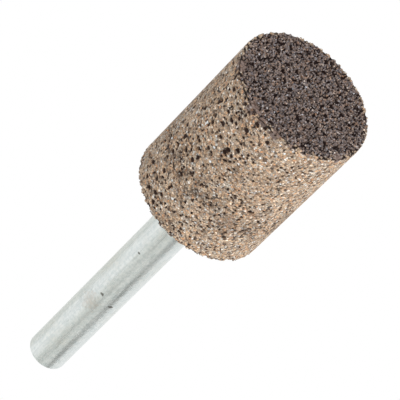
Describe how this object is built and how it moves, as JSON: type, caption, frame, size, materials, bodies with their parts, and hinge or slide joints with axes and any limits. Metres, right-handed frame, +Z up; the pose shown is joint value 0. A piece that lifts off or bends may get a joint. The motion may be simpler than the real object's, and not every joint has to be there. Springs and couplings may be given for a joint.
{
  "type": "mounted point",
  "caption": "Cylindrical abrasive mounted point: a coarse bonded grinding cylinder cemented on a plain round steel shank for a collet.",
  "frame": {"origin": "centre of the grinding face, which the point stands on", "axes": "+Z up along the axis, from the grinding face to the free end of the shank; X and Y are free because the part is turned"},
  "size_m": [0.02, 0.02, 0.067],
  "materials": {
    "abrasive": "coarse porous bonded grain, tan on the side and dark brown on the end faces",
    "shank_steel": "dull bright plated steel with drawn streaks and small marks",
    "cement": "matt grey-brown set cement"
  },
  "bodies": {
    "root": {"abrasive_head": "abrasive", "shank": "shank_steel", "cement": "cement"}
  },
  "joints": []
}
